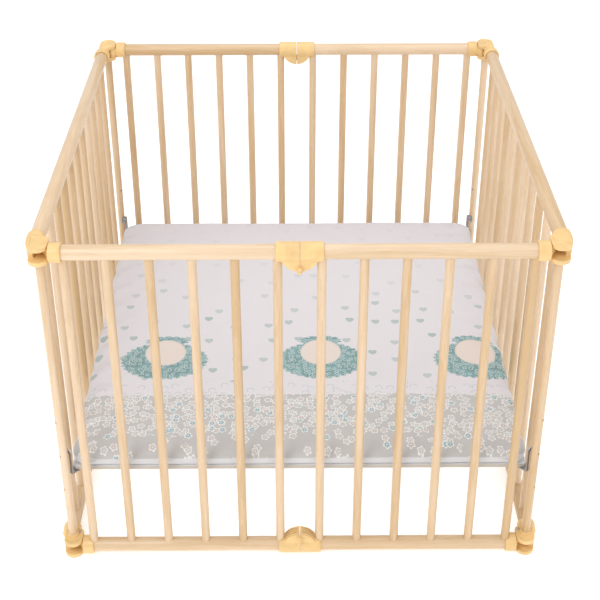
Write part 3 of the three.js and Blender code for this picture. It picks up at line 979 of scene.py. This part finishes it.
class PLAYPEN_OT_end_fittings(bpy.types.Operator):
    """Mould the sleeves with an eye on the ends of the folding rails"""

    bl_idname = "playpen.end_fittings"
    bl_label = "End fittings"

    def execute(self, context):
        plastic = context.scene.playpen_plastic
        wood = context.scene.playpen_wood
        master = moulded(self.shells(plastic, wood), plastic.skin)
        fit_corners(context, master, "{end}_{side}", "{end}_{side}_{level}_end_fitting")
        return {"FINISHED"}

    def shells(self, plastic, wood):
        """The left front top sleeve about the crossing of the rail axes, notched for its bar."""
        radius = plastic.collar_radius
        rail = wood.rail_radius + RAIL_GAP
        start, end = SLEEVE_START, SLEEVE_END
        wall = start + END_WALL
        sleeve = laid(turned([
            (0, start), (radius - 1.2 * MM, start), (radius, start + 1.2 * MM),
            (radius, end - 1.6 * MM), (radius - 1.6 * MM, end), (rail, end), (rail, wall),
            (0, wall)]), 0)
        sleeve = notched(sleeve, plastic, wood, wood.last_bar)
        reach = plastic.slot_half - 0.5 * MM
        face = start + 1.5 * MM
        eye_radius, core_radius, root_half = 7.4 * MM, 6 * MM, 13 * MM
        outline = [*arc((PIN_INSET.x, PIN_INSET.y), eye_radius, -10, 215, 18),
                   (face, -root_half), (face, root_half)]
        eye = extruded(outline, -reach, reach)
        groove_half, groove_pitch = 0.9 * MM, 5.4 * MM
        grooves = [box_mesh((8 * MM, 10 * MM, z - groove_half), (27.5 * MM, 40 * MM, z + groove_half))
                   for z in (-groove_pitch, 0, groove_pitch)]
        core = self.round_pin(core_radius, reach)
        eye = cut(eye, [*grooves, self.round_pin(BORE_RADIUS, reach + 2 * MM)])
        core = cut(core, [self.round_pin(BORE_RADIUS, reach + 2 * MM)])
        return [sleeve, eye, core]

    def round_pin(self, radius, reach):
        """A rod on the pin's axis, to add round it or to bore it."""
        rod = rounded_rod(radius, -reach, reach, 0.3 * MM, PIN_SIDES)
        return laid(rod, 2, (PIN_INSET.x, PIN_INSET.y, 0))


class PLAYPEN_OT_middle_hinges(bpy.types.Operator):
    """Mould the halves of the middle hinges"""

    bl_idname = "playpen.middle_hinges"
    bl_label = "Middle hinges"

    def execute(self, context):
        plastic = context.scene.playpen_plastic
        wood = context.scene.playpen_wood
        for side, sx in SIDES:
            master = moulded(self.shells(plastic, wood, side == "left"), plastic.skin)
            for end, sy in ENDS:
                for level, height, sz in LEVELS:
                    node = f"{end}_{side}_{level}_hinge_half"
                    mesh = reflected(master, (-sx, sy, sz), (0, -sy * HALF_Y, height))
                    show_moulding(context, mesh, f"{end}_{side}", node)
            bpy.data.meshes.remove(master)
        return {"FINISHED"}

    def shells(self, plastic, wood, has_spigot):
        """The right half of a front top hinge about the middle of the rail's axis."""
        radius = plastic.collar_radius
        rail = wood.rail_radius + RAIL_GAP
        near = SEAM_HALF
        end = HINGE_END
        wall = near + HINGE_WALL
        sleeve = laid(turned([
            (0, near), (radius - 0.5 * MM, near), (radius, near + 0.5 * MM), (radius, end - 2.6 * MM),
            (radius - 0.8 * MM, end - 0.8 * MM), (radius - 2.6 * MM, end), (rail, end), (rail, wall),
            (0, wall)]), 0)
        sleeve = notched(sleeve, plastic, wood, wood.first_bar)
        half = plastic.disc_half
        first, rib, gap = 8.4 * MM, 3.3 * MM, 2.3 * MM
        plates = [(-half, -half + first)]
        while plates[-1][1] + gap < half:
            plates.append((plates[-1][1] + gap, min(plates[-1][1] + gap + rib, half)))
        slabs = [self.half_disc(plastic.disc_radius, near, low, high) for low, high in plates]
        web_radius = plastic.disc_radius - 4.5 * MM
        slabs.append(self.half_disc(web_radius, near, -half + 1 * MM, half - 1 * MM))
        strip = box_mesh((near, -half, -plastic.disc_radius + 0.4 * MM), (4 * MM, half, 0))
        return [sleeve, strip, *slabs, *self.knuckle(half, near, has_spigot)]

    def half_disc(self, radius, near, low, high):
        """Half a disc under the rail, from Y low to Y high."""
        outline = [(x, y) for x, y in arc((0, 0), radius, -88.5, 0, 24) if x >= near]
        disc = extruded([(near, 0), (near, -radius), *outline], low, high)
        disc.transform(Matrix.Rotation(math.pi / 2, 4, "X"))
        disc.transform(Matrix.Diagonal((1, -1, 1, 1)))
        disc.flip_normals()
        return disc

    def knuckle(self, half, near, has_spigot):
        """The barrel on the outer face, and the lug that carries it."""
        axis_y = centre_line_y()
        high = SPIGOT_TOP if has_spigot else EYE_TOP
        low = high - BARREL_HEIGHT
        radius, thick, play = 4.4 * MM, 4.2 * MM, 0.2 * MM
        barrel = laid(rounded_rod(radius, low, high, 0.4 * MM, PIN_SIDES), 2, (0, axis_y, 0))
        lug = box_mesh((0, axis_y, low + play), (thick, -half + 3 * MM, high - play))
        root = box_mesh((near, -half - 0.5 * MM, low + play), (thick, -half + 5 * MM, high - play))
        return [barrel, lug, root]


def centre_line_y():
    """The middle hinge's turning axis, from the front rail's axis."""
    joint = next(joint for joint in frame["joints"] if joint["name"] == "front_middle_hinge")
    return joint["pos_m"][1] + HALF_Y


class PLAYPEN_OT_pins_and_hooks(bpy.types.Operator):
    """Turn the steel pins and pegs, and plate the hooks"""

    bl_idname = "playpen.pins_and_hooks"
    bl_label = "Pins, pegs and hooks"

    def execute(self, context):
        steel = material_called("zinc_plated_steel", steel_finish)
        for side, sx, end, sy in corners():
            corner = f"{side}_{end}"
            for level, _, _ in LEVELS:
                node = f"{corner}_{level}_corner_pin"
                low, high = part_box(node)
                middle = (low + high) / 2
                pin = rounded_rod(PIN_RADIUS, low.z, high.z, 0.6 * MM, PIN_SIDES)
                pin = laid(pin, 2, (middle.x, middle.y, 0))
                fasten(show(node + "_turned", pin, steel), f"{side}_side", "steel", node)
            fasten(self.peg(corner, sx, sy, steel), f"{side}_side", "steel", f"{corner}_floor_peg")
            hook = frame["nodes"][f"{corner}_floor_hook"]
            hook.data.materials.clear()
            hook.data.materials.append(steel)
        return {"FINISHED"}

    def peg(self, corner, sx, sy, steel):
        """A round peg with a domed head, along the corner's inward diagonal."""
        post_radius = 8.5 * MM
        hook = 2 * MM
        inner = post_radius + 0.8 * MM + hook + 0.4 * MM
        shank, head = 2.9 * MM, 5.4 * MM
        profile = [(0, -3 * MM), (shank - 0.5 * MM, -3 * MM), (shank, -2.4 * MM), (shank, inner),
                   (head, inner), (head, inner + 1 * MM), (head - 1 * MM, inner + 2.2 * MM),
                   (head - 2.8 * MM, inner + 2.8 * MM), (0, inner + 3 * MM)]
        peg = put_on_post(laid(turned(profile, PIN_SIDES), 0), sx, sy, PEG_Z)
        return show(f"{corner}_floor_peg_turned", peg, steel)


class PLAYPEN_OT_board(bpy.types.Operator):
    """Cut the floor board"""

    bl_idname = "playpen.board"
    bl_label = "Floor board"

    def execute(self, context):
        corner_cut = 5 * MM
        x, y = BOARD_HIGH.x, BOARD_HIGH.y
        outline = [(x, y - corner_cut), (x - corner_cut, y), (corner_cut - x, y), (-x, y - corner_cut),
                   (-x, corner_cut - y), (corner_cut - x, -y), (x - corner_cut, -y), (x, corner_cut - y)]
        board = settled(extruded(outline, BOARD_LOW.z, BOARD_HIGH.z), [
            ("BEVEL", {"width": 0.8 * MM, "segments": 2, "limit_method": "ANGLE"})])
        piece = show("floor_board_cut", board, material_called("white_laminate", board_finish))
        fasten(piece, "floor", "board", "floor_board")
        return {"FINISHED"}


class PLAYPEN_OT_mattress(bpy.types.Operator):
    """Stuff, sew and print the floor mattress"""

    bl_idname = "playpen.mattress"
    bl_label = "Mattress"

    def execute(self, context):
        floor = context.scene.playpen_floor
        mesh = settled(self.slab(), [
            ("REMESH", {"mode": "VOXEL", "voxel_size": MATTRESS_GRID, "adaptivity": 0.0}),
            ("SMOOTH", {"factor": 0.5, "iterations": 3})])
        mesh = self.swollen(mesh, floor)
        mesh = settled(mesh, [("SUBSURF", {"levels": 1, "render_levels": 1})])
        self.shape_edges(mesh, context)
        cotton = material_called("printed_cotton", lambda: cloth_finish(floor))
        piece = show("printed_mattress", mesh, cotton, 180)
        fasten(piece, "floor", "fabric", "mattress")
        return {"FINISHED"}

    def slab(self):
        """The mattress before it swells: a slab with round corners."""
        inset = 3 * MM
        u = MATTRESS_HIGH.x - inset - MATTRESS_CORNER
        v = MATTRESS_HIGH.y - inset - MATTRESS_CORNER
        outline = []
        for quarter, centre in enumerate(((u, v), (-u, v), (-u, -v), (u, -v))):
            outline += arc(centre, MATTRESS_CORNER, 90 * quarter, 90 * (quarter + 1), 8)
        return extruded(outline, MATTRESS_LOW.z, MATTRESS_HIGH.z - 1 * MM)

    def swollen(self, mesh, floor):
        """The padding pressed out against its cover, by cloth simulation with air pressure."""
        rest = [vertex.co.copy() for vertex in mesh.vertices]
        piece = bpy.data.objects.new("work", mesh)
        scene = bpy.context.scene
        scene.collection.objects.link(piece)
        cloth = piece.modifiers.new("cloth", "CLOTH")
        cloth.settings.quality = 4
        cloth.settings.mass = 0.4
        cloth.settings.tension_stiffness = 12
        cloth.settings.compression_stiffness = 12
        cloth.settings.bending_stiffness = 0.4
        cloth.settings.use_pressure = True
        cloth.settings.uniform_pressure_force = 4
        cloth.settings.effector_weights.gravity = 0
        cloth.point_cache.frame_start = 1
        cloth.point_cache.frame_end = SWELL_FRAMES
        for number in range(1, SWELL_FRAMES + 1):
            scene.frame_set(number)
        graph = bpy.context.evaluated_depsgraph_get()
        result = bpy.data.meshes.new_from_object(piece.evaluated_get(graph))
        scene.frame_set(1)
        bpy.data.objects.remove(piece)
        bpy.data.meshes.remove(mesh)
        for vertex, start in zip(result.vertices, rest):
            move = vertex.co - start
            if move.length > floor.swell:
                vertex.co = start + move.normalized() * floor.swell
        return result

    def shape_edges(self, mesh, context):
        """Dips the cover at the front and side bars, and keeps it clear of every bar and post."""
        floor = context.scene.playpen_floor
        wood = context.scene.playpen_wood
        pitch, side_pitch = bar_pitches(wood)
        for vertex in mesh.vertices:
            x, y, z = vertex.co
            waves = noise.noise(Vector((x * 7, y * 7, 3.1))) * 1.2 * MM
            creases = noise.noise(Vector((x * 34, y * 34, 1.7))) * 0.7 * MM
            upper = smooth((z - MATTRESS_LOW.z - 12 * MM) / (16 * MM))
            edges = [(x, y, HALF_X, 0.0, side_pitch)]
            if y < 0:
                edges.insert(0, (y, x, HALF_Y, wood.first_bar, pitch))
            for across, along, half, first, gap in edges:
                inwards = half - wood.bar_radius - abs(across)
                near = math.exp(-((max(inwards, 0) / floor.dent_reach) ** 2))
                phase = (abs(along) - first) / gap
                at_bar = (0.5 + 0.5 * math.cos(math.tau * phase)) ** 2
                z -= floor.dent * at_bar * near * upper
                z -= floor.roll * near * upper
            z += (waves + creases) * upper
            vertex.co.z = z
            keep_clear(vertex, wood)
        mesh.update()


def smooth(value):
    """Eases from 0 to 1."""
    value = min(1.0, max(0.0, value))
    return value * value * (3 - 2 * value)


def keep_clear(vertex, wood):
    """Pushes a point of the mattress out of the bars and posts, which leaves dents round them."""
    clear = wood.bar_radius + 1.2 * MM
    pitch, side_pitch = bar_pitches(wood)
    x, y = vertex.co.x, vertex.co.y
    column = min(max(round((abs(x) - wood.first_bar) / pitch), 0), wood.bars_per_half - 1)
    bar_x = math.copysign(wood.first_bar + column * pitch, x)
    bar_y = round(y / side_pitch) * side_pitch
    post = (math.copysign(HALF_X - POST_INSET.x, x), math.copysign(HALF_Y - POST_INSET.y, y))
    spots = (
        ((bar_x, math.copysign(HALF_Y, y)), clear),
        ((math.copysign(HALF_X, x), bar_y), clear),
        (post, clear + 7 * MM),
    )
    for (px, py), room in spots:
        away = Vector((x - px, y - py))
        if away.length < room:
            away = away.normalized() * room
            x, y = px + away.x, py + away.y
    vertex.co.x, vertex.co.y = x, y


class PLAYPEN_OT_stage(bpy.types.Operator):
    """Set up the paper ground, the soft lights and the camera"""

    bl_idname = "playpen.stage"
    bl_label = "Stage"

    def execute(self, context):
        scene = context.scene
        scene.view_settings.view_transform = "Standard"
        self.ground()
        self.lights(scene)
        self.camera(scene)
        return {"FINISHED"}

    def ground(self):
        work = bmesh.new()
        bmesh.ops.create_grid(work, x_segments=8, y_segments=8, size=14)
        paper = show("paper_ground", mesh_of(work), ground_finish())
        paper.location.z = -0.5 * MM

    def lights(self, scene):
        world = bpy.data.worlds.new("studio")
        world.use_nodes = True
        scene.world = world
        background = world.node_tree.nodes["Background"]
        background.inputs["Color"].default_value = (1.0, 1.0, 1.0, 1.0)
        background.inputs["Strength"].default_value = 0.70
        for name, place, power, size in (
            ("key", (-1.6, -2.4, 3.2), 50, 1.8),
            ("fill", (2.6, -1.6, 2.4), 14, 2.6),
            ("top", (0.2, 0.6, 3.4), 26, 2.4),
        ):
            lamp = bpy.data.lights.new(name, "AREA")
            lamp.energy = power
            lamp.size = size
            holder = bpy.data.objects.new(name, lamp)
            holder.location = place
            aim = Vector((0, 0, 0.3)) - Vector(place)
            holder.rotation_euler = aim.to_track_quat("-Z", "Y").to_euler()
            scene.collection.objects.link(holder)

    def camera(self, scene):
        stage = scene.playpen_stage
        data = bpy.data.cameras.new("camera")
        data.sensor_width = 36
        data.lens = stage.lens
        data.shift_y = stage.shift
        camera = bpy.data.objects.new("camera", data)
        camera.location = stage.eye
        camera.rotation_euler = (math.pi / 2 - stage.tilt, 0, math.radians(-0.46))
        scene.collection.objects.link(camera)
        scene.camera = camera


OPERATORS = (
    PLAYPEN_OT_stage, PLAYPEN_OT_rails, PLAYPEN_OT_bars, PLAYPEN_OT_posts,
    PLAYPEN_OT_corner_fittings, PLAYPEN_OT_end_fittings, PLAYPEN_OT_middle_hinges,
    PLAYPEN_OT_pins_and_hooks, PLAYPEN_OT_board, PLAYPEN_OT_mattress,
)
SETTINGS = (
    ("playpen_wood", PlaypenWood), ("playpen_plastic", PlaypenPlastic),
    ("playpen_floor", PlaypenFloor), ("playpen_stage", PlaypenStage),
)


class PLAYPEN_PT_panel(bpy.types.Panel):
    """Lists the pieces of the playpen"""

    bl_idname = "PLAYPEN_PT_panel"
    bl_label = "Playpen"
    bl_space_type = "VIEW_3D"
    bl_region_type = "UI"
    bl_category = "Playpen"

    def draw(self, context):
        for kind in OPERATORS:
            self.layout.operator(kind.bl_idname, text=kind.bl_label)


def register():
    for name, kind in SETTINGS:
        bpy.utils.register_class(kind)
        setattr(bpy.types.Scene, name, PointerProperty(type=kind))
    for kind in (*OPERATORS, PLAYPEN_PT_panel):
        bpy.utils.register_class(kind)


def unregister():
    for kind in (PLAYPEN_PT_panel, *reversed(OPERATORS)):
        bpy.utils.unregister_class(kind)
    for name, kind in reversed(SETTINGS):
        delattr(bpy.types.Scene, name)
        bpy.utils.unregister_class(kind)


def main():
    register()
    for kind in OPERATORS:
        group, action = kind.bl_idname.split(".")
        getattr(getattr(bpy.ops, group), action)()


if __name__ == "__main__":
    main()
